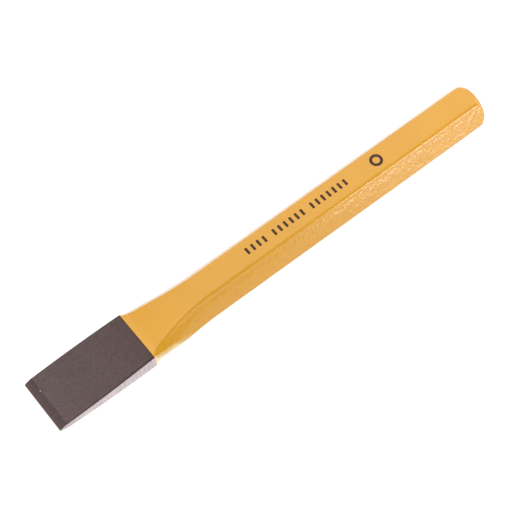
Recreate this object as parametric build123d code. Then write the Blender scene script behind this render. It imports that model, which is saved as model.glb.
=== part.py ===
from build123d import *
import math
import os

# Flat cold chisel forged in one piece from hexagon bar. Millimetres.
# It lies on one flat of its shank: +X runs from the cutting edge to the struck head, +Z is up,
# and the origin is under the middle of its length, on the surface that it lies on.

# Driving dimensions
LENGTH = 200.0          # cutting edge to struck face
ACROSS_FLATS = 17.0     # hexagon shank, over the enamel
EDGE_WIDTH = 21.85      # blade width at the cutting edge
BLADE_WIDTH = 22.2      # blade width halfway along the blade
ROOT_WIDTH = 21.4       # blade width where the enamel starts
BLADE_LENGTH = 40.9     # cutting edge to the start of the enamel
BEVEL_LENGTH = 3.2      # ground cutting bevel
EDGE_LAND = 0.3         # thickness left at the cutting edge
BEVEL_THICKNESS = 2.1   # blade thickness at the heel of the bevel
ROOT_THICKNESS = 6.54   # blade thickness where the enamel starts
HEAD_FACE_DIAMETER = 16.5
HEAD_CHAMFER_ANGLE = 30.0
ENAMEL = 0.15           # thickness of the yellow coat
DARK_FINISH = 0.05      # thickness of the dark coat on the blade
INK = 0.05              # thickness of the printing
BAR_COUNTS = (4, 6, 7)  # plain printed bars in each group
BAR_WIDTH = 1.05
BAR_HEIGHT = 2.8
BAR_PITCH = 2.62
GROUP_GAP = 1.95
PRINT_START = 90.0      # cutting edge to the first printed bar
RING_PLACE = 151.5      # cutting edge to the middle of the printed ring
RING_OUTER = 5.2
RING_INNER = 2.9

# The neck swells from the thin blade to the hexagon bar. Each row is one section:
# distance behind the blade root, half height, half width of the top flat, half width at mid height.
NECK_SECTIONS = (
    (0.0, 3.42, 10.05, 12.95),
    (0.9, 3.95, 9.2, 12.3),
    (2.7, 4.75, 8.3, 11.7),
    (6.7, 5.85, 7.45, 11.05),
    (11.7, 6.8, 6.5, 10.65),
    (17.7, 7.75, 5.55, 10.15),
    (23.7, 8.3, 5.02, 9.9),
)
NECK_LENGTH = 26.7

# Worked out from them
EDGE_X = -LENGTH / 2
ROOT_X = EDGE_X + BLADE_LENGTH
SHOULDER_X = ROOT_X + NECK_LENGTH
HEAD_X = EDGE_X + LENGTH
AXIS_Z = ACROSS_FLATS / 2
TOP_Z = ACROSS_FLATS
CUTTER = 60.0           # larger than any cross-section
CONE_LENGTH = 20.0      # long enough to clear the corners of the bar


def hexagon_at(x, half_height, half_top, half_middle):
    """Six-cornered cross-section with flats above and below and corners at mid height."""
    corners = [
        (x, half_top, AXIS_Z + half_height),
        (x, half_middle, AXIS_Z),
        (x, half_top, AXIS_Z - half_height),
        (x, -half_top, AXIS_Z - half_height),
        (x, -half_middle, AXIS_Z),
        (x, -half_top, AXIS_Z + half_height),
    ]
    return Face(Wire.make_polygon(corners, close=True))


def bar_section(x, coat):
    """Regular hexagon of the bar, smaller all round by the coat."""
    half_height = ACROSS_FLATS / 2 - coat
    half_middle = half_height / math.cos(math.radians(30))
    return hexagon_at(x, half_height, half_middle / 2, half_middle)


def head_cone(coat):
    """Turned shape that chamfers the six corners of the head and ends it flat."""
    face_radius = (HEAD_FACE_DIAMETER - coat) / 2
    back_radius = face_radius + CONE_LENGTH * math.tan(math.radians(HEAD_CHAMFER_ANGLE))
    cone_start = Plane(origin=(HEAD_X - coat - CONE_LENGTH, 0, AXIS_Z), z_dir=(1, 0, 0))
    cone = Solid.make_cone(back_radius, face_radius, CONE_LENGTH, cone_start)
    shaft = Solid.make_cylinder(back_radius, LENGTH, cone_start.offset(-LENGTH))
    return shaft + cone


def shank(coat):
    """Neck, hexagon bar and chamfered head, smaller all round by the coat."""
    sections = [
        hexagon_at(ROOT_X + place, half_height - coat, half_top - coat / 2, half_middle - coat)
        for place, half_height, half_top, half_middle in NECK_SECTIONS
    ]
    sections.append(bar_section(SHOULDER_X, coat))
    flared = Solid.make_loft([section.outer_wire() for section in sections])
    walls = Box(2 * LENGTH, ROOT_WIDTH - 2 * coat, CUTTER).moved(Location((0, 0, AXIS_Z)))
    bar = extrude(bar_section(SHOULDER_X, coat), HEAD_X - SHOULDER_X, dir=(1, 0, 0))
    return (flared & walls) + (bar & head_cone(coat))


def blade_profile(coat):
    """Side view of the blade: bevel, then a long taper up to the root."""
    half_land = EDGE_LAND / 2
    half_heel = BEVEL_THICKNESS / 2 - coat
    half_root = ROOT_THICKNESS / 2 - coat
    heel_x = EDGE_X + BEVEL_LENGTH
    upper = [(EDGE_X, half_land), (heel_x, half_heel), (ROOT_X, half_root)]
    lower = [(x, -z) for x, z in reversed(upper)]
    corners = [(x, 0, AXIS_Z + z) for x, z in upper + lower]
    return Face(Wire.make_polygon(corners, close=True))


def blade_outline():
    """Plan view of the blade, with slightly bowed ground sides."""
    middle_x = (EDGE_X + ROOT_X) / 2
    near = ThreePointArc((EDGE_X, -EDGE_WIDTH / 2), (middle_x, -BLADE_WIDTH / 2), (ROOT_X, -ROOT_WIDTH / 2))
    far = ThreePointArc((ROOT_X, ROOT_WIDTH / 2), (middle_x, BLADE_WIDTH / 2), (EDGE_X, EDGE_WIDTH / 2))
    root = Line((ROOT_X, -ROOT_WIDTH / 2), (ROOT_X, ROOT_WIDTH / 2))
    edge = Line((EDGE_X, EDGE_WIDTH / 2), (EDGE_X, -EDGE_WIDTH / 2))
    return make_face([near, root, far, edge])


def blade(coat):
    """Blade with flat broad faces, smaller above and below by the coat."""
    wedge = extrude(blade_profile(coat), CUTTER / 2, dir=(0, 1, 0), both=True)
    plan = extrude(blade_outline(), CUTTER, dir=(0, 0, 1))
    return wedge & plan


def printed_bars():
    """Three groups of plain upright bars, centred on the top flat."""
    bars = []
    x = EDGE_X + PRINT_START
    for count in BAR_COUNTS:
        for _ in range(count):
            bar = Box(BAR_WIDTH, BAR_HEIGHT, INK).moved(Location((x + BAR_WIDTH / 2, 0, TOP_Z + INK / 2)))
            bars.append(bar)
            x += BAR_PITCH
        x += GROUP_GAP
    return Compound(children=bars)


def printed_ring():
    """Plain ring, centred on the top flat."""
    place = Location((EDGE_X + RING_PLACE, 0, TOP_Z + INK / 2))
    return (Cylinder(RING_OUTER / 2, INK) - Cylinder(RING_INNER / 2, INK)).moved(place)


def build():
    """Every sub-part, by node name."""
    steel_blade = blade(DARK_FINISH)
    steel_shank = shank(ENAMEL)
    return {
        "forged_steel_body": steel_blade + steel_shank,
        "shank_enamel": shank(0.0) - steel_shank,
        "blade_dark_finish": blade(0.0) - steel_blade,
        "printed_marks": printed_bars(),
        "printed_ring": printed_ring(),
    }


os.makedirs("parts", exist_ok=True)
for name, shape in build().items():
    export_step(shape, f"parts/{name}.step")
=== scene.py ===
"""Flat cold chisel: forged steel, yellow enamel, dark blade finish and plain printed marks."""

import math

import bmesh
import bpy
import numpy as np
from mathutils import Matrix, Vector, noise


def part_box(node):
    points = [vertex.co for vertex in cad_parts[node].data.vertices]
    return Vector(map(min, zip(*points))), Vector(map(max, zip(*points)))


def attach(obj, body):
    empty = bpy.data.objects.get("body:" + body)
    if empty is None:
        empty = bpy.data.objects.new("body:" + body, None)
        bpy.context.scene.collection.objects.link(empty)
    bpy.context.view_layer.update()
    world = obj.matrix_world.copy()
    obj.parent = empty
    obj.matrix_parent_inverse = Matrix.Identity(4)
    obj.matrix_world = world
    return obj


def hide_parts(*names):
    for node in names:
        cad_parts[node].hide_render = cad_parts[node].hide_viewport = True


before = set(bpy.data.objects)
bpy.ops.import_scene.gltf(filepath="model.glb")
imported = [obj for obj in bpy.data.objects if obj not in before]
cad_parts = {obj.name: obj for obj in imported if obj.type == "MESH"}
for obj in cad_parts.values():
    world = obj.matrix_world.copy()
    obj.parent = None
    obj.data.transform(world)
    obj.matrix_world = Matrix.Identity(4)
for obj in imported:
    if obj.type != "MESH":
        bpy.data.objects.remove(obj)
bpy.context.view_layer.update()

# ---------------------------------------------------------------- sizes, in millimetres
MM = 0.001
coat_low, coat_high = (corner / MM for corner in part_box("shank_enamel"))
blade_low, blade_high = (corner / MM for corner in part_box("blade_dark_finish"))

EDGE_X = blade_low.x
ROOT_X = coat_low.x
HEAD_X = coat_high.x
AXIS_Z = (coat_low.z + coat_high.z) / 2
HALF_FLATS = (coat_high.z - coat_low.z) / 2
HALF_CORNERS = HALF_FLATS / math.cos(math.radians(30))
BLADE_LENGTH = ROOT_X - EDGE_X
HALF_ROOT = (blade_high.z - blade_low.z) / 2
HALF_BLADE = blade_high.y
HALF_WALL = coat_high.y
HALF_EDGE = 10.925      # half the width of the cutting edge
HALF_LAND = 0.14        # half the flat left at the cutting edge
HALF_HEEL = 1.05        # half the thickness at the heel of the bevel
BEVEL_LENGTH = 3.2
EDGE_CORNER = 0.35      # rounding of the two corners of the cutting edge
ARRIS_Y, ARRIS_Z = 0.62, 0.34   # worn arris along the blade, at its root
LEAN = 0.22             # the blade's ground sides lean by this much from mid height to a broad face
LEAN_START, LEAN_END = 2.0, 5.0     # it grows over the first length and fades over the other past the root
ENAMEL = 0.15           # thickness of the yellow coat
DARK_FINISH = 0.05      # thickness of the dark coat on the blade
STEEL_GAP = 0.01        # between the enamel's inner surface and the steel, so that they do not coincide
DARK_GAP = 0.001        # between the dark coat's inner surface and the steel

# The neck, as distance behind the blade root, half height, half top flat, and half width at mid
# height on the far side and on the near side, which is fuller
NECK_SECTIONS = np.array((
    (0.0, HALF_ROOT + ENAMEL, HALF_WALL - ARRIS_Y, 13.9, 13.9),
    (0.9, 3.95, 9.2, 12.3, 12.3),
    (2.7, 4.75, 8.3, 11.7, 11.8),
    (6.7, 5.85, 7.45, 11.05, 11.5),
    (11.7, 6.8, 6.5, 10.65, 11.05),
    (17.7, 7.75, 5.55, 10.15, 10.4),
    (23.7, 8.3, 5.02, 9.9, 9.95),
    (26.7, HALF_FLATS, HALF_CORNERS / 2, HALF_CORNERS, HALF_CORNERS),
    (200.0, HALF_FLATS, HALF_CORNERS / 2, HALF_CORNERS, HALF_CORNERS),
))
NECK_LENGTH = NECK_SECTIONS[-2, 0]
SHOULDER_X = ROOT_X + NECK_LENGTH
RIDGE_RADIUS = 1.35     # rounding of the long ridges of the bar
FAR_RIDGE_RADIUS = 0.6  # the ridges on the other side are crisper
SIDE_RADIUS = 0.6       # rounding of the corners at mid height
CORNER_FLAT = 0.1       # half height left to the rounded corners at mid height
DRAFT = 0.26            # slope of the neck's near side wall, which leans in towards the underside
DRAFT_START = 1.5       # length behind the root over which it grows
SHOULDER_DRIFT, HEAD_DRIFT = 0.42, 0.12  # how far the bar stands to one side of the blade's middle
FAR_SPREAD = 0.45       # the far ridges stand out by this much more at the head
LUMPS, FINE_LUMPS = 0.018, 0.006    # forging unevenness of the slanted faces
FLAT_BORDER = 1.2       # depth below a flat over which that unevenness grows
GROOVE, GROOVE_DROP, GROOVE_WIDTH = 0.05, 1.9, 0.6  # depth, height below the flat, half width
GROOVE_FADE = (10, 90)  # places between which half of the groove fades out
BOW = 0.13              # how far the slanted faces stand out at their middle near the neck
BOW_START = 14          # length behind the root over which the bow grows
BOW_FADE = (60, 0)      # places of no bow and of the full one
BORDER_THINNING, BORDER_LENGTH = 0.06, 0.25     # the enamel thins towards its border with the blade
SMOOTH_BORDER = 0.3     # length of the neck next to the blade that shows no unevenness

HEAD_FACE_RADIUS = 8.25
HEAD_CHAMFER = math.tan(math.radians(30))
HEAD_EDGE_RADIUS = 0.35
HEAD_CROWN = 0.12       # height of the struck face's middle above its rim
FACE_RINGS = (0.93, 0.82, 0.66, 0.45, 0.22, 0.05)   # rings of the struck face, as shares of its rim

FLOOR_REFLECTION_FROM, FLOOR_REFLECTION_FULL = 9.9, 10.7    # distance to the side at which the painted reflection of the bright floor on the neck's walls starts and is full
CHIP_PLACE = (EDGE_X + 2.9, 5.2, 9.46)  # the bare chip at the heel of the bevel

INK = 0.02              # height of the printing above the enamel
INK_ROOT = 0.03         # how far it reaches into the enamel
BAR_COUNTS = (4, 6, 7)
BAR_WIDTH = 1.05
BAR_HEIGHT = 2.8
BAR_CORNER = 0.18       # rounding of the corners of a bar
BAR_PITCH = 2.62
GROUP_GAP = 1.95
PRINT_START = 90.0      # cutting edge to the first printed bar
RING_PLACE = 151.5      # cutting edge to the middle of the printed ring
RING_OUTER = 2.6        # outer and inner radius of the printed ring
RING_INNER = 1.45

# Points along each stretch of a quarter of the section, and the points of the whole ring
TOP_STEPS, RIDGE_STEPS, SLANT_STEPS, CORNER_STEPS, SIDE_STEPS = 8, 6, 20, 4, 6
RING_SIZE = 4 * (TOP_STEPS + RIDGE_STEPS + SLANT_STEPS + CORNER_STEPS + SIDE_STEPS)
HEAD_EDGE_STEPS = 9     # rings round the edge of the struck face
BAR_CORNER_STEPS = 4
CIRCLE_STEPS = 64

# How near a ridge a point counts as: at the start of a rounding, on the sides, and on a worn arris
RIDGE_START, SIDE_NEARNESS, ARRIS_NEARNESS = 0.15, 0.6, 1.0


# ---------------------------------------------------------------- cross-sections
def ramp(value, start, end):
    """0 up to start, 1 from end on and straight between them; start may be the larger."""
    return float(np.clip((value - start) / (end - start), 0, 1))


def smooth_through(knots, values, x):
    """Monotone cubic through the knots, so that no value swings past its neighbours."""
    step = np.diff(knots)
    slope = np.diff(values) / step
    tangent = np.concatenate(([slope[0]], (slope[:-1] + slope[1:]) / 2, [slope[-1]]))
    flat = np.concatenate(([False], slope[:-1] * slope[1:] <= 0, [False]))
    tangent[flat] = 0.0
    for i, s in enumerate(slope):
        limit = 3 * abs(s)
        tangent[i] = np.clip(tangent[i], -limit, limit)
        tangent[i + 1] = np.clip(tangent[i + 1], -limit, limit)
    i = int(np.clip(np.searchsorted(knots, x) - 1, 0, len(step) - 1))
    t = np.clip((x - knots[i]) / step[i], 0.0, 1.0)
    return float(
        values[i] * (1 + 2 * t) * (1 - t) ** 2
        + step[i] * tangent[i] * t * (1 - t) ** 2
        + values[i + 1] * t * t * (3 - 2 * t)
        + step[i] * tangent[i + 1] * t * t * (t - 1)
    )


def blade_corners(along, sink):
    """Upper and side corner of the blade's section, at a distance behind the cutting edge."""
    half = np.interp(along, (0.0, BEVEL_LENGTH, BLADE_LENGTH), (HALF_LAND, HALF_HEEL, HALF_ROOT))
    half -= sink * min(1.0, along / BEVEL_LENGTH)
    u = along / BLADE_LENGTH
    width = HALF_EDGE * (1 - u) * (1 - 2 * u) + HALF_BLADE * 4 * u * (1 - u) + HALF_WALL * u * (2 * u - 1)
    nose = max(0.0, 1 - along / EDGE_CORNER)
    width -= EDGE_CORNER * (1 - math.sqrt(max(0.0, 1 - nose * nose)))
    share = half / HALF_ROOT
    upper = np.array((width - ARRIS_Y * share, half))
    side = np.array((width, half - ARRIS_Z * share))
    return upper, side


def shank_corners(behind, sink, near_side):
    """Upper and side corner of the neck's or bar's section, at a distance behind the root."""
    height, top, middle = (
        smooth_through(NECK_SECTIONS[:, 0], NECK_SECTIONS[:, k], behind) for k in (1, 2, 3 + near_side)
    )
    height -= sink
    top -= sink * math.tan(math.radians(30))
    middle -= sink / math.cos(math.radians(30))
    wall = HALF_WALL - sink
    rise = height / (middle - top)
    upper = np.array((top, height))
    side = np.array((wall, (middle - wall) * rise))
    if side[1] < CORNER_FLAT:
        side = np.array((middle - CORNER_FLAT / rise, CORNER_FLAT))
    return upper, side


def edges_at(before, corner, after):
    """Directions from a corner back and ahead along its edges, and the angle that the outline turns by."""
    back = (before - corner) / np.linalg.norm(before - corner)
    ahead = (after - corner) / np.linalg.norm(after - corner)
    return back, ahead, math.pi - math.acos(float(np.clip(back @ ahead, -1, 1)))


def arc(before, corner, after, radius, steps):
    """Points of a rounding that touches the two edges at a corner."""
    back, ahead, turn = edges_at(before, corner, after)
    centre = corner + (back + ahead) / np.linalg.norm(back + ahead) * radius / math.cos(turn / 2)
    start = corner + back * radius * math.tan(turn / 2) - centre
    cross = np.sign(back[1] * ahead[0] - back[0] * ahead[1])
    points = []
    for i in range(steps + 1):
        a = turn * i / steps * cross
        c, s = math.cos(a), math.sin(a)
        points.append(centre + np.array((c * start[0] - s * start[1], s * start[0] + c * start[1])))
    return points


def quarter(upper, side, round_off, worn):
    """Points from the middle of the top to mid height, and how near a ridge each is. Worn is for the
    blade, where the slanted stretch is itself an arris."""
    top = np.array((0.0, upper[1]))
    middle = np.array((side[0], 0.0))
    slant = np.linalg.norm(upper - side)
    _, _, ridge_turn = edges_at(top, upper, side)
    _, _, side_turn = edges_at(upper, side, middle)
    ridge_radius = min(round_off, 0.5 * slant / math.tan(ridge_turn / 2))
    side_radius = min(
        SIDE_RADIUS, 0.45 * slant / math.tan(side_turn / 2), 0.99 * side[1] / math.tan(side_turn / 2)
    )
    ridge = arc(top, upper, side, ridge_radius, RIDGE_STEPS)
    corner = arc(upper, side, middle, side_radius, CORNER_STEPS)
    points, near = [], []

    def run(a, b, steps, rise_a, rise_b):
        """Adds a straight stretch, whose nearness falls away from each end within a third of its length."""
        for i in range(steps):
            t = i / steps
            points.append(a + (b - a) * t)
            near.append(rise_a * max(0.0, 1 - 3 * t) ** 2 + rise_b * max(0.0, 3 * t - 2) ** 2)

    run(top, ridge[0], TOP_STEPS, 0.0, RIDGE_START)
    for i, p in enumerate(ridge[:-1]):
        points.append(p)
        near.append(RIDGE_START + (1 - RIDGE_START) * math.sin(math.pi * i / RIDGE_STEPS))
    run(ridge[-1], corner[0], SLANT_STEPS, RIDGE_START, RIDGE_START)
    if worn:
        near[-SLANT_STEPS:] = [ARRIS_NEARNESS] * SLANT_STEPS
    for i, p in enumerate(corner[:-1]):
        points.append(p)
        near.append(RIDGE_START + 0.5 * math.sin(math.pi * i / (2 * CORNER_STEPS)))
    run(corner[-1], middle, SIDE_STEPS, SIDE_NEARNESS, SIDE_NEARNESS)
    points.append(middle)
    near.append(SIDE_NEARNESS)
    return points, near


def whole(far_corners, near_corners, worn=False):
    """The full ring from the corners of its far and near quarters, without doubled points."""
    halves = []
    for (upper, side), round_off in ((far_corners, FAR_RIDGE_RADIUS), (near_corners, RIDGE_RADIUS)):
        points, near = quarter(upper, side, round_off, worn)
        below = [(y, -z) for y, z in reversed(points[:-1])]
        halves.append((points + below, near + list(reversed(near[:-1]))))
    (right, near_right), (left, near_left) = halves
    mirrored = [(-y, z) for y, z in reversed(left[1:-1])]
    ring = np.array([tuple(p) for p in right + mirrored])
    return ring, np.array(near_right + list(reversed(near_left[1:-1])))


def along_bar(x):
    """Place along the straight bar: 0 at its shoulder, 1 at the head, less than 0 on the neck."""
    return (x - SHOULDER_X) / (HEAD_X - SHOULDER_X)


def drift(x):
    """Sideways place of the section's middle: the bar is not quite in line with the blade."""
    if x < SHOULDER_X:
        return -SHOULDER_DRIFT * max(0.0, (x - ROOT_X) / NECK_LENGTH)
    return -SHOULDER_DRIFT + (SHOULDER_DRIFT - HEAD_DRIFT) * along_bar(x)


def section_ring(x, sink):
    """Outline across the tool at x, at a depth below its finished surface, with its nearness to a ridge."""
    if x < ROOT_X:
        upper, side = blade_corners(x - EDGE_X, sink)
        ring, near = whole((upper, side), (upper, side), worn=True)
    else:
        upper, side = shank_corners(x - ROOT_X, sink, True)
        far_upper, far_side = shank_corners(x - ROOT_X, sink, False)
        far_upper[0] += FAR_SPREAD * max(0.0, along_bar(x))
        ring, near = whole((far_upper, far_side), (upper, side))
        draft = DRAFT * min(1.0, (x - ROOT_X) / DRAFT_START)
        above = np.maximum(np.abs(ring[:, 1]) - side[1], 0.0) / (upper[1] - side[1])
        shift = draft * np.clip(ring[:, 1], -side[1], side[1]) * (1 - above)
        ring[:, 0] -= np.where(ring[:, 0] < 0, shift, 0.0)
    lean = LEAN * min(1.0, (x - EDGE_X) / LEAN_START, max(0.0, 1 - (x - ROOT_X) / LEAN_END))
    ring[:, 0] += lean * ring[:, 1] / upper[1] + drift(x)
    return ring, near


def head_limit(x, sink):
    """Radius that the turned head leaves at x: chamfer, rounded edge, crowned face."""
    end = HEAD_X - sink
    face = HEAD_FACE_RADIUS - sink / 2
    cone = face + (end - x) * HEAD_CHAMFER
    into = x - (end - HEAD_EDGE_RADIUS)
    if into <= 0:
        return cone
    t = into / HEAD_EDGE_RADIUS
    return cone - HEAD_EDGE_RADIUS * (1 - math.sqrt(max(0.0, 1 - t * t)))


def soft_min(a, b, blend=0.03):
    """The smaller of two radii, rounded where they cross."""
    return -blend * np.log(np.exp(-a / blend) + np.exp(-b / blend))


def trimmed(ring, x, sink):
    """The ring cut back to the turned head."""
    middle = np.array((drift(x), 0.0))
    radius = np.linalg.norm(ring - middle, axis=1)
    limit = head_limit(x, sink)
    if limit > HALF_CORNERS + 1:
        return ring
    return middle + (ring - middle) * (soft_min(radius, np.full_like(radius, limit)) / radius)[:, None]


# ---------------------------------------------------------------- forging unevenness
def forged_share(drop):
    """How much of the forging's unevenness shows at a depth below a flat."""
    return np.clip(drop / FLAT_BORDER, 0, 1)


def unevenness(x, y, z, forged):
    """Shallow dishing of the forged and dipped surface, below the true face."""
    p = Vector((x, y, z))
    broad = noise.noise(p * 0.11 + Vector((3.1, 7.7, 1.3)))
    lumps = noise.noise(Vector((x * 0.40, y * 0.62, z * 0.62)) + Vector((9.4, 2.2, 5.8)))
    fine = noise.noise(Vector((x * 0.9, y * 1.1, z * 1.1)) + Vector((1.7, 6.3, 4.1)))
    return (
        0.03 * (1 + broad)
        + (0.004 + LUMPS * forged) * (1 + lumps)
        + FINE_LUMPS * forged * (1 + fine)
    )


def rolled(x, drop):
    """Dishing of a slanted face at a height below the flat: a faint groove under the ridge, and less
    of the face's middle left standing towards the head, where the bar is truly flat."""
    groove = GROOVE * math.exp(-(((drop - GROOVE_DROP) / GROOVE_WIDTH) ** 2) / 2)
    groove *= 1 - 0.5 * ramp(x, *GROOVE_FADE)
    bowed = ramp(x, *BOW_FADE) * ramp(x, ROOT_X, ROOT_X + BOW_START)
    down = ramp(drop, 0, HALF_FLATS)
    return groove + BOW * bowed * (2 * down - 1) ** 2 * forged_share(drop)


def settle(points, ring, x, dented):
    """Adds the ring's points in 3-D, dented by the forging's unevenness, which the flats hardly show."""
    radius = np.linalg.norm(ring, axis=1)
    height = np.abs(ring[:, 1]).max()
    for (y, z), r in zip(ring, radius):
        drop = height - abs(z)
        dent = (unevenness(x, y, z, forged_share(drop)) + rolled(x, drop)) if dented else 0.0
        shrink = 1 - dent / r
        points.append((x, y * shrink, AXIS_Z + z * shrink))


# ---------------------------------------------------------------- mesh building
def piece_from(name, vertices, faces, **attributes):
    """A mesh object from vertices in millimetres, with named values stored on its points."""
    mesh = bpy.data.meshes.new(name)
    mesh.from_pydata([(x * MM, y * MM, z * MM) for x, y, z in vertices], [], faces)
    for attribute, values in attributes.items():
        layer = mesh.attributes.new(attribute, "FLOAT", "POINT")
        layer.data.foreach_set("value", np.asarray(values, dtype=np.float32))
    shape = bmesh.new()
    shape.from_mesh(mesh)
    bmesh.ops.recalc_face_normals(shape, faces=shape.faces)
    shape.to_mesh(mesh)
    shape.free()
    mesh.update()
    piece = bpy.data.objects.new(name, mesh)
    bpy.context.scene.collection.objects.link(piece)
    return piece


def shade(piece, angle):
    """Smooth shading with crisp edges above an angle."""
    for face in piece.data.polygons:
        face.use_smooth = True
    piece.data.set_sharp_from_angle(angle=math.radians(angle))


def strip(faces, first, second, count, closed=True):
    """Quads between two runs of vertices that start at the given indices."""
    last = count if closed else count - 1
    for i in range(last):
        j = (i + 1) % count
        faces.append((first + i, first + j, second + j, second + i))


def stations(start, stop, step):
    """Evenly spaced places from start up to but without stop, about a step apart."""
    count = max(1, int(round((stop - start) / step)))
    return [start + (stop - start) * i / count for i in range(count)]


def shank_stations():
    """Places along neck and bar, closer where the shape turns faster."""
    return (
        [ROOT_X + d for d in (0.0, 0.03, 0.08, 0.15, 0.25)]
        + stations(ROOT_X + 0.4, ROOT_X + 4.0, 0.2)
        + stations(ROOT_X + 4.0, SHOULDER_X + 1.0, 0.45)
        + stations(SHOULDER_X + 1.0, HEAD_X - 4.0, 0.7)
        + stations(HEAD_X - 4.0, HEAD_X - HEAD_EDGE_RADIUS, 0.11)
    )


def head_edge_stations(sink):
    """Places round the edge of the struck face, closer together towards the face."""
    end = HEAD_X - sink
    return [end - HEAD_EDGE_RADIUS * math.cos(a) for a in np.linspace(0.0, math.pi / 2, HEAD_EDGE_STEPS)]


def shank_surface(vertices, sink, border_thinning=0.0):
    """Rings of the neck, bar and head, then of the crowned face. Returns the index at which each ring
    starts, and how near a ridge each point is."""
    starts, near_ridge = [], []
    end = HEAD_X - sink
    places = [x for x in shank_stations() if x < end - HEAD_EDGE_RADIUS] + head_edge_stations(sink)
    for x in places:
        fade = max(0.0, 1 - (x - ROOT_X) / BORDER_LENGTH)
        ring, near = section_ring(x, sink + border_thinning * fade * fade)
        ring = trimmed(ring, x, sink)
        starts.append(len(vertices))
        settle(vertices, ring, min(x, end - HEAD_CROWN), dented=(x > ROOT_X + SMOOTH_BORDER))
        near_ridge.extend(near)
    middle = np.array((drift(end), 0.0))
    for share in FACE_RINGS:
        starts.append(len(vertices))
        bulge = HEAD_CROWN * (1 - share * share)
        settle(vertices, middle + (ring - middle) * share, end - HEAD_CROWN + bulge, dented=False)
        near_ridge.extend([0.0] * RING_SIZE)
    return starts, near_ridge


def enamel_coat():
    """Closed shell: outer paint surface, inner surface on the steel, and a strip that joins them."""
    vertices, faces = [], []
    outer, near_outer = shank_surface(vertices, 0.0, BORDER_THINNING)
    inner, near_inner = shank_surface(vertices, ENAMEL)
    for starts in (outer, inner):
        for a, b in zip(starts, starts[1:]):
            strip(faces, a, b, RING_SIZE)
        faces.append(tuple(range(starts[-1], starts[-1] + RING_SIZE)))
    strip(faces, outer[0], inner[0], RING_SIZE)
    forged = np.zeros(len(vertices))
    for start in outer:
        height = np.abs(np.array(vertices[start:start + RING_SIZE])[:, 2] - AXIS_Z)
        forged[start:start + RING_SIZE] = forged_share(height.max() - height)
    piece = piece_from("enamel_coat", vertices, faces, near_ridge=near_outer + near_inner, forged=forged)
    shade(piece, 40)
    return piece


def blade_places():
    """Places along the blade, closer at the cutting edge and at the heel of the bevel."""
    heel = EDGE_X + BEVEL_LENGTH
    return (
        [EDGE_X + d for d in (0.0, 0.05, 0.12, 0.22, 0.35, 0.6, 1.0, 1.6, 2.2, 2.7)]
        + [heel + d for d in (-0.3, -0.12, 0.0, 0.12, 0.3, 0.7)]
        + stations(heel + 1.2, ROOT_X, 1.2)
        + [ROOT_X - 0.02]
    )


def steel_forging():
    """The one solid piece of steel, from the cutting edge to the head under the enamel."""
    vertices, faces, starts = [], [], []
    for x in blade_places():
        ring, _ = section_ring(x, DARK_FINISH)
        starts.append(len(vertices))
        settle(vertices, ring, x, dented=False)
    shank, _ = shank_surface(vertices, ENAMEL + STEEL_GAP)
    starts += shank
    for a, b in zip(starts, starts[1:]):
        strip(faces, a, b, RING_SIZE)
    faces.append(tuple(range(starts[0], starts[0] + RING_SIZE)))
    faces.append(tuple(range(starts[-1], starts[-1] + RING_SIZE)))
    piece = piece_from("steel_forging", vertices, faces)
    shade(piece, 25)
    return piece


def blade_finish(name, side):
    """Dark coat on one broad face, its bevel and its worn arrises: +1 is the upper face, -1 the lower."""
    covered = TOP_STEPS + RIDGE_STEPS + SLANT_STEPS + 1
    vertices, near, faces, rows = [], [], [], []
    for sink in (0.0, DARK_FINISH - DARK_GAP):
        for x in blade_places():
            ring, ring_near = section_ring(x, sink)
            span = [ring[-i] for i in range(covered, 0, -1)] + [ring[i] for i in range(covered + 1)]
            rows.append(len(vertices))
            for y, z in span:
                vertices.append((x, y, AXIS_Z + side * z))
            near.extend([ring_near[i] for i in range(-covered, covered + 1)])
    size = 2 * covered + 1
    count = len(rows) // 2
    outer, inner = rows[:count], rows[count:]
    for starts in (outer, inner):
        for a, b in zip(starts, starts[1:]):
            strip(faces, a, b, size, closed=False)
    strip(faces, outer[0], inner[0], size, closed=False)
    strip(faces, outer[-1], inner[-1], size, closed=False)
    for offset in (0, size - 1):
        for k in range(count - 1):
            faces.append((outer[k] + offset, outer[k + 1] + offset, inner[k + 1] + offset, inner[k] + offset))
    piece = piece_from(name, vertices, faces, near_ridge=near)
    shade(piece, 25)
    return piece


def top_height(x, y):
    """Height of the painted top flat at a point, with its unevenness."""
    radius = math.hypot(y, HALF_FLATS)
    shrink = 1 - unevenness(x, y, HALF_FLATS, 0.0) / radius
    return AXIS_Z + HALF_FLATS * shrink


def plate(vertices, faces, outline):
    """A thin closed plate of ink on the top flat."""
    first, count = len(vertices), len(outline)
    for lift in (INK, -INK_ROOT):
        vertices.extend((px, py, top_height(px, py) + lift) for px, py in outline)
    faces.append(tuple(range(first, first + count)))
    faces.append(tuple(range(first + 2 * count - 1, first + count - 1, -1)))
    strip(faces, first, first + count, count)


def bar_outline(x):
    """Outline of the printed bar that starts at x, with softened corners."""
    outline = []
    for cx, cy, start in ((1, 1, 0), (-1, 1, 90), (-1, -1, 180), (1, -1, 270)):
        for i in range(BAR_CORNER_STEPS + 1):
            a = math.radians(start + 90 * i / BAR_CORNER_STEPS)
            px = x + BAR_WIDTH / 2 + cx * (BAR_WIDTH / 2 - BAR_CORNER) + BAR_CORNER * math.cos(a)
            py = cy * (BAR_HEIGHT / 2 - BAR_CORNER) + BAR_CORNER * math.sin(a)
            outline.append((px, py))
    return outline


def printed_marks():
    """Three groups of plain bars along the middle of the top flat."""
    vertices, faces = [], []
    x = EDGE_X + PRINT_START
    for count in BAR_COUNTS:
        for _ in range(count):
            plate(vertices, faces, bar_outline(x))
            x += BAR_PITCH
        x += GROUP_GAP
    return piece_from("printed_bars", vertices, faces)


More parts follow.
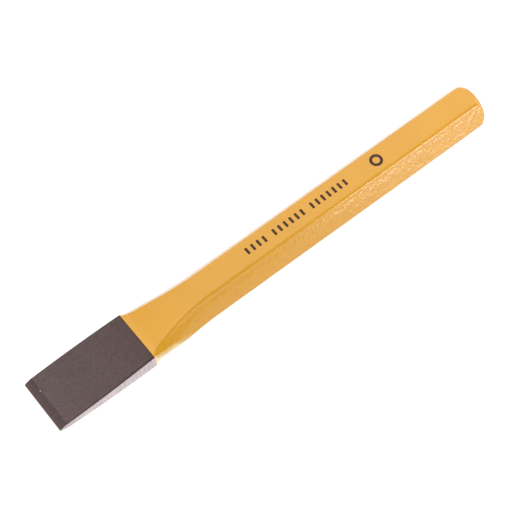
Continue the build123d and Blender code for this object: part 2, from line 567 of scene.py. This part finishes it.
def printed_ring():
    """A plain ring on the top flat, from its outer and inner circles above and below."""
    vertices, faces, runs = [], [], []
    centre = EDGE_X + RING_PLACE
    circles = ((RING_OUTER, INK), (RING_INNER, INK), (RING_INNER, -INK_ROOT), (RING_OUTER, -INK_ROOT))
    for radius, lift in circles:
        runs.append(len(vertices))
        for i in range(CIRCLE_STEPS):
            a = 2 * math.pi * i / CIRCLE_STEPS
            px, py = centre + radius * math.cos(a), radius * math.sin(a)
            vertices.append((px, py, top_height(px, py) + lift))
    for a, b in zip(runs, runs[1:] + runs[:1]):
        strip(faces, a, b, CIRCLE_STEPS)
    return piece_from("printed_circle", vertices, faces)


# ---------------------------------------------------------------- materials
def colour(red, green, blue):
    """Linear colour from display values between 0 and 1."""
    def linear(v):
        """One channel of it."""
        return v / 12.92 if v <= 0.04045 else ((v + 0.055) / 1.055) ** 2.4
    return linear(red), linear(green), linear(blue), 1.0


class Surface:
    """A material and short ways to add its nodes."""

    def __init__(self, name, **sockets):
        self.material = bpy.data.materials.new(name)
        self.material.use_nodes = True
        self.tree = self.material.node_tree
        self.shader = self.tree.nodes["Principled BSDF"]
        for key, value in sockets.items():
            self.shader.inputs[key.replace("_", " ")].default_value = value
        self.place = self.tree.nodes.new("ShaderNodeTexCoord").outputs["Object"]

    def link(self, source, target):
        """Joins two sockets."""
        self.tree.links.new(source, target)

    def feed(self, value, socket):
        """Gives a socket a number, a colour or another socket's value."""
        if isinstance(value, (int, float, tuple)):
            socket.default_value = value
        else:
            self.link(value, socket)

    def stretched(self, x, y, z):
        """Place on the object, scaled by another factor along each axis."""
        node = self.tree.nodes.new("ShaderNodeMapping")
        node.inputs["Scale"].default_value = (x, y, z)
        self.link(self.place, node.inputs["Vector"])
        return node.outputs["Vector"]

    def along(self, axis):
        """Distance along one axis of the tool, in metres."""
        node = self.tree.nodes.new("ShaderNodeSeparateXYZ")
        self.link(self.place, node.inputs["Vector"])
        return node.outputs[axis]

    def distance(self, point):
        """Distance from a point given in millimetres, in metres."""
        node = self.tree.nodes.new("ShaderNodeVectorMath")
        node.operation = "DISTANCE"
        node.inputs[1].default_value = Vector(point) * MM
        self.link(self.place, node.inputs[0])
        return node.outputs["Value"]

    def noise(self, scale, detail=3.0, vector=None):
        """Noise between 0 and 1; the scale is per metre."""
        node = self.tree.nodes.new("ShaderNodeTexNoise")
        node.inputs["Scale"].default_value = scale
        node.inputs["Detail"].default_value = detail
        self.link(vector or self.place, node.inputs["Vector"])
        return node.outputs["Fac"]

    def spots(self, scale):
        """Distance from the nearest of many scattered points."""
        node = self.tree.nodes.new("ShaderNodeTexVoronoi")
        node.inputs["Scale"].default_value = scale
        self.link(self.place, node.inputs["Vector"])
        return node.outputs["Distance"]

    def attribute(self, name):
        """A value stored on the mesh's points."""
        node = self.tree.nodes.new("ShaderNodeAttribute")
        node.attribute_name = name
        return node.outputs["Fac"]

    def span(self, value, low, high, to_low=0.0, to_high=1.0):
        """The value moved from one range into another, and kept inside it."""
        node = self.tree.nodes.new("ShaderNodeMapRange")
        node.inputs["From Min"].default_value = low
        node.inputs["From Max"].default_value = high
        node.inputs["To Min"].default_value = to_low
        node.inputs["To Max"].default_value = to_high
        self.link(value, node.inputs["Value"])
        return node.outputs["Result"]

    def math(self, operation, a, b):
        """A sum, product or other operation on two sockets or numbers."""
        node = self.tree.nodes.new("ShaderNodeMath")
        node.operation = operation
        self.feed(a, node.inputs[0])
        self.feed(b, node.inputs[1])
        return node.outputs["Value"]

    def mix(self, factor, a, b):
        """A colour between two sockets or colours."""
        node = self.tree.nodes.new("ShaderNodeMix")
        node.data_type = "RGBA"
        self.link(factor, node.inputs["Factor"])
        colour_a, colour_b, colour_result = node.inputs[6], node.inputs[7], node.outputs[2]
        self.feed(a, colour_a)
        self.feed(b, colour_b)
        return colour_result

    def bump(self, height, distance, strength, under=None):
        """Normal of a relief whose height is given in metres, over another normal."""
        node = self.tree.nodes.new("ShaderNodeBump")
        node.inputs["Strength"].default_value = strength
        node.inputs["Distance"].default_value = distance
        self.link(height, node.inputs["Height"])
        if under is not None:
            self.link(under, node.inputs["Normal"])
        return node.outputs["Normal"]

    def finish(self, base, roughness, normal=None):
        """The material, with its shader's inputs linked."""
        for key, value in (("Base Color", base), ("Roughness", roughness), ("Normal", normal)):
            if value is not None:
                self.link(value, self.shader.inputs[key])
        return self.material


def enamel_material():
    """Dipped yellow paint: thinner on the ridges, whose darkening is also painted shade, and on the forged
    grain, with pits, a slight peel and a painted reflection of the floor on the neck's side walls.
    """
    s = Surface("yellow_enamel", Specular_IOR_Level=0.5, Coat_Weight=0.85, Coat_Roughness=0.14)
    body = colour(0.878, 0.627, 0.07)
    warm = colour(0.868, 0.615, 0.05)
    # darker yellow for thin paint, pits and grain, and for the painted shade along the ridges
    thin_paint_and_ridge_shade = colour(0.78, 0.52, 0.04)
    # pale cream for the painted reflection of the bright floor on the neck's side walls
    painted_floor_reflection = colour(0.98, 0.90, 0.66)
    base = s.mix(s.span(s.noise(70.0, 2.0), 0.35, 0.65), body, warm)

    # thinner paint along the ridges, whose darkening is also painted shade of the rounded ridges
    ridge = s.attribute("near_ridge")
    wander = s.span(s.noise(260.0, 3.0), 0.3, 0.7, 0.55, 1.0)
    base = s.mix(s.math("MULTIPLY", s.span(ridge, 0.25, 1.0, 0.0, 0.3), wander), base, thin_paint_and_ridge_shade)

    # a few small pits
    pit = s.span(s.spots(900.0), 0.04, 0.16, 1.0, 0.0)
    rare = s.span(s.noise(240.0, 1.0), 0.6, 0.68)
    pits = s.math("MULTIPLY", pit, rare)
    base = s.mix(s.math("MULTIPLY", pits, 0.55), base, thin_paint_and_ridge_shade)

    # painted reflection of the bright floor on the side walls of the neck, a pale cream which ends where they
    # narrow into the bar
    reflection_aside = s.span(s.math("ABSOLUTE", s.along("Y"), 0.0), FLOOR_REFLECTION_FROM * MM, FLOOR_REFLECTION_FULL * MM)
    reflection_rearward = s.span(s.along("X"), (ROOT_X + 8) * MM, (ROOT_X + 18) * MM, 1.0, 0.0)
    base = s.mix(s.math("MULTIPLY", s.math("MULTIPLY", reflection_aside, reflection_rearward), 0.85), base, painted_floor_reflection)

    # grain of the forged faces
    forged = s.attribute("forged")
    grain = s.noise(620.0, 3.0)
    base = s.mix(s.math("MULTIPLY", s.span(grain, 0.42, 0.66, 0.0, 0.24), forged), base, thin_paint_and_ridge_shade)

    # relief: sagging paint, orange peel, grain and pits
    normal = s.bump(s.noise(230.0, 2.0), 0.00010, 0.3)
    normal = s.bump(s.noise(900.0, 2.0), 0.00003, 0.5, normal)
    normal = s.bump(s.math("MULTIPLY", grain, forged), 0.00018, 0.75, normal)
    normal = s.bump(s.math("MULTIPLY", pits, -1.0), 0.00006, 0.8, normal)
    s.link(normal, s.shader.inputs["Coat Normal"])
    return s.finish(base, s.span(s.noise(400.0, 2.0), 0.3, 0.7, 0.36, 0.46), normal)


def dark_material():
    """Dark lacquer: zones along the blade and its bevel, mottled, with a painted dark reflection on the
    arrises, a painted shadow at the enamel's border and one chip.
    """
    s = Surface("dark_blade_finish", Specular_IOR_Level=0.45)
    heel = (EDGE_X + BEVEL_LENGTH) * MM
    ahead = colour(0.360, 0.291, 0.287)
    middle = colour(0.336, 0.264, 0.260)
    root = colour(0.306, 0.226, 0.209)
    bevel_heel = colour(0.279, 0.203, 0.229)
    bevel_edge = colour(0.327, 0.240, 0.217)
    # darkest tone: for the mottle, and as painted dark reflection on the arrises and painted shadow at the
    # enamel's border
    worn = colour(0.17, 0.10, 0.10)
    pale = colour(0.44, 0.36, 0.33)
    bare = colour(0.82, 0.74, 0.62)

    # zones along the blade, then the bevel
    x = s.along("X")
    base = s.mix(s.span(x, heel, heel + 12 * MM), ahead, middle)
    base = s.mix(s.span(x, (ROOT_X - 16) * MM, ROOT_X * MM), base, root)
    ground = s.mix(s.span(x, (EDGE_X + 0.4) * MM, heel - 0.6 * MM), bevel_edge, bevel_heel)
    base = s.mix(s.span(x, heel - 0.05 * MM, heel + 0.05 * MM), ground, base)
    mottle = s.noise(1100.0, 3.0)
    base = s.mix(s.span(mottle, 0.52, 0.72, 0.0, 0.35), base, worn)
    base = s.mix(s.span(mottle, 0.30, 0.46, 0.18, 0.0), base, pale)

    # painted dark reflection on the arrises, pale cutting edge, painted shadow under the enamel's edge at its
    # border and a bare chip
    ridge = s.attribute("near_ridge")
    base = s.mix(s.span(ridge, 0.4, 1.0, 0.0, 0.9), base, worn)
    rim = s.span(x, (EDGE_X + 0.08) * MM, (EDGE_X + 0.35) * MM, 0.7, 0.0)
    base = s.mix(rim, base, pale)
    base = s.mix(s.span(x, (ROOT_X - 0.4) * MM, (ROOT_X - 0.15) * MM, 0.0, 0.8), base, worn)
    chip = s.span(s.distance(CHIP_PLACE), 0.12 * MM, 0.3 * MM, 0.9, 0.0)
    base = s.mix(chip, base, bare)
    normal = s.bump(s.noise(900.0, 3.0), 0.00002, 0.4)
    return s.finish(base, s.span(s.noise(300.0, 3.0), 0.3, 0.7, 0.42, 0.55), normal)


def steel_material():
    """Bare steel, ground across the blade's sides, with a cloudy shine."""
    s = Surface("ground_steel", Metallic=1.0)
    bright = colour(0.85, 0.795, 0.81)
    dull = colour(0.74, 0.69, 0.705)
    lines = s.noise(2600.0, 2.0, s.stretched(1.0, 0.04, 0.04))
    cloud = s.noise(160.0, 3.0)
    blend = s.math("ADD", s.math("MULTIPLY", lines, 0.6), s.math("MULTIPLY", cloud, 0.4))
    base = s.mix(s.span(blend, 0.38, 0.62), bright, dull)
    normal = s.bump(lines, 0.00002, 0.7)
    return s.finish(base, s.span(lines, 0.3, 0.7, 0.30, 0.46), normal)


def ink_material():
    """Dark brown printing ink, thinner in places."""
    s = Surface("printing_ink", Specular_IOR_Level=0.3)
    full = colour(0.27, 0.17, 0.115)
    faint = colour(0.42, 0.28, 0.15)
    base = s.mix(s.span(s.noise(1500.0, 3.0), 0.45, 0.75, 0.0, 0.7), full, faint)
    return s.finish(base, s.span(s.noise(800.0, 2.0), 0.3, 0.7, 0.5, 0.65))


# ---------------------------------------------------------------- stage, light and camera
FLOOR_REACH = 4000      # from the tool to each side of the floor
TABLE_GLOW = 0.93       # light that the floor gives off
TENT_LIGHT = 0.06       # light of the tent between its bright areas
# Soft bright areas of the white tent: azimuth and elevation in degrees, sharpness, strength
TENT_AREAS = (
    (0.0, 90.0, 12, 1.90),
    (50.0, 42.0, 16, 1.90),
    (95.0, 42.0, 16, 0.70),
    (-150.0, 42.0, 16, 2.35),
    (170.0, 42.0, 16, 2.15),
    (-90.0, 42.0, 8, 0.15),
    (0.0, 8.0, 8, 0.30),
    (60.0, 8.0, 8, 0.35),
    (120.0, 8.0, 8, 0.50),
    (180.0, 8.0, 8, 0.55),
)
# Rectangular lights: name, place, what each is aimed at, width and height, power in watts
SOFTBOXES = (
    ("front_fill", (180, -245, 32), (50, 0, 9), (130, 50), 0.16),
    ("side_fill", (-230, -230, 110), (-40, 0, 8), (160, 160), 0.12),
    ("head_fill", (330, -40, 140), (70, 0, 10), (115, 115), 0.30),
)
# The camera's direction from its target and its roll, in degrees; distance; and lens in millimetres
CAMERA_AZIMUTH, CAMERA_ELEVATION, CAMERA_ROLL = -127.096, 61.652, -1.697
CAMERA_DISTANCE = 501.066
CAMERA_LENS = 96.63
CAMERA_TARGET = Vector((-5.579, 0.118, AXIS_Z))


def floor_material():
    """White sheet over a light table, so that it throws light up at the tool's sides."""
    s = Surface("pale_floor", Specular_IOR_Level=0.1)
    s.shader.inputs["Emission Color"].default_value = (1.0, 1.0, 1.0, 1.0)
    s.shader.inputs["Emission Strength"].default_value = TABLE_GLOW
    base = s.mix(s.noise(6.0, 2.0), colour(0.455, 0.455, 0.455), colour(0.465, 0.465, 0.465))
    return s.finish(base, s.span(s.noise(20.0, 2.0), 0.3, 0.7, 0.78, 0.85))


def floor():
    """A plain floor under the tool, far wider than any view of it."""
    corners = [(-FLOOR_REACH, -FLOOR_REACH, 0), (FLOOR_REACH, -FLOOR_REACH, 0)]
    corners += [(-x, -y, z) for x, y, z in corners]
    ground = piece_from("studio_floor", corners, [(0, 1, 2, 3)])
    ground.data.materials.append(floor_material())


def direction(azimuth, elevation):
    """Unit vector from an azimuth and an elevation in degrees."""
    a, e = math.radians(azimuth), math.radians(elevation)
    return math.cos(e) * math.cos(a), math.cos(e) * math.sin(a), math.sin(e)


def studio_world():
    """White tent with soft bright areas, each falling off with the angle from its middle."""
    world = bpy.data.worlds.new("white_tent")
    world.use_nodes = True
    tree = world.node_tree
    background = tree.nodes["Background"]
    background.inputs["Color"].default_value = (1.0, 1.0, 1.0, 1.0)
    place = tree.nodes.new("ShaderNodeTexCoord").outputs["Generated"]

    def step(operation, a, b):
        """Arithmetic on a socket and either a number or another socket."""
        node = tree.nodes.new("ShaderNodeMath")
        node.operation = operation
        tree.links.new(a, node.inputs[0])
        if isinstance(b, (int, float)):
            node.inputs[1].default_value = b
        else:
            tree.links.new(b, node.inputs[1])
        return node.outputs["Value"]

    total = TENT_LIGHT
    for azimuth, elevation, sharpness, strength in TENT_AREAS:
        facing = tree.nodes.new("ShaderNodeVectorMath")
        facing.operation = "DOT_PRODUCT"
        facing.inputs[1].default_value = direction(azimuth, elevation)
        tree.links.new(place, facing.inputs[0])
        area = step("POWER", step("MAXIMUM", facing.outputs["Value"], 0.0), sharpness)
        area = step("MULTIPLY", area, strength)
        total = step("ADD", area, total)
    tree.links.new(total, background.inputs["Strength"])
    bpy.context.scene.world = world


def softbox(name, place, target, size, power):
    """A rectangular studio light aimed at a point."""
    light = bpy.data.lights.new(name, "AREA")
    light.shape = "RECTANGLE"
    light.size, light.size_y = size[0] * MM, size[1] * MM
    light.energy = power
    holder = bpy.data.objects.new(name, light)
    bpy.context.scene.collection.objects.link(holder)
    holder.location = Vector(place) * MM
    holder.rotation_euler = (Vector(target) - Vector(place)).to_track_quat("-Z", "Y").to_euler()


def camera():
    """Long lens above the blade's side of the tool, looking down across it."""
    roll = math.radians(CAMERA_ROLL)
    back = Vector(direction(CAMERA_AZIMUTH, CAMERA_ELEVATION))
    right = (-back).cross(Vector((0, 0, 1))).normalized()
    up = right.cross(-back)
    tilted_right = right * math.cos(roll) + up * math.sin(roll)
    tilted_up = up * math.cos(roll) - right * math.sin(roll)
    data = bpy.data.cameras.new("studio_camera")
    data.lens = CAMERA_LENS
    data.sensor_width = 36.0
    data.clip_start = 0.01
    holder = bpy.data.objects.new("studio_camera", data)
    bpy.context.scene.collection.objects.link(holder)
    turn = Matrix((tilted_right, tilted_up, back)).transposed().to_4x4()
    holder.matrix_world = Matrix.Translation((CAMERA_TARGET + back * CAMERA_DISTANCE) * MM) @ turn
    bpy.context.scene.camera = holder


def dress(piece, material, node_name):
    """Gives a piece its material and body, and hides the CAD node that it stands in for."""
    piece.data.materials.append(material)
    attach(piece, "root")
    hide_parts(node_name)


camera()
studio_world()
floor()
for softbox_values in SOFTBOXES:
    softbox(*softbox_values)

enamel, dark, steel, ink = enamel_material(), dark_material(), steel_material(), ink_material()
dress(steel_forging(), steel, "forged_steel_body")
dress(enamel_coat(), enamel, "shank_enamel")
dress(blade_finish("blade_finish_upper", 1), dark, "blade_dark_finish")
dress(blade_finish("blade_finish_lower", -1), dark, "blade_dark_finish")
dress(printed_marks(), ink, "printed_marks")
dress(printed_ring(), ink, "printed_ring")
bpy.context.scene.view_settings.view_transform = "Standard"
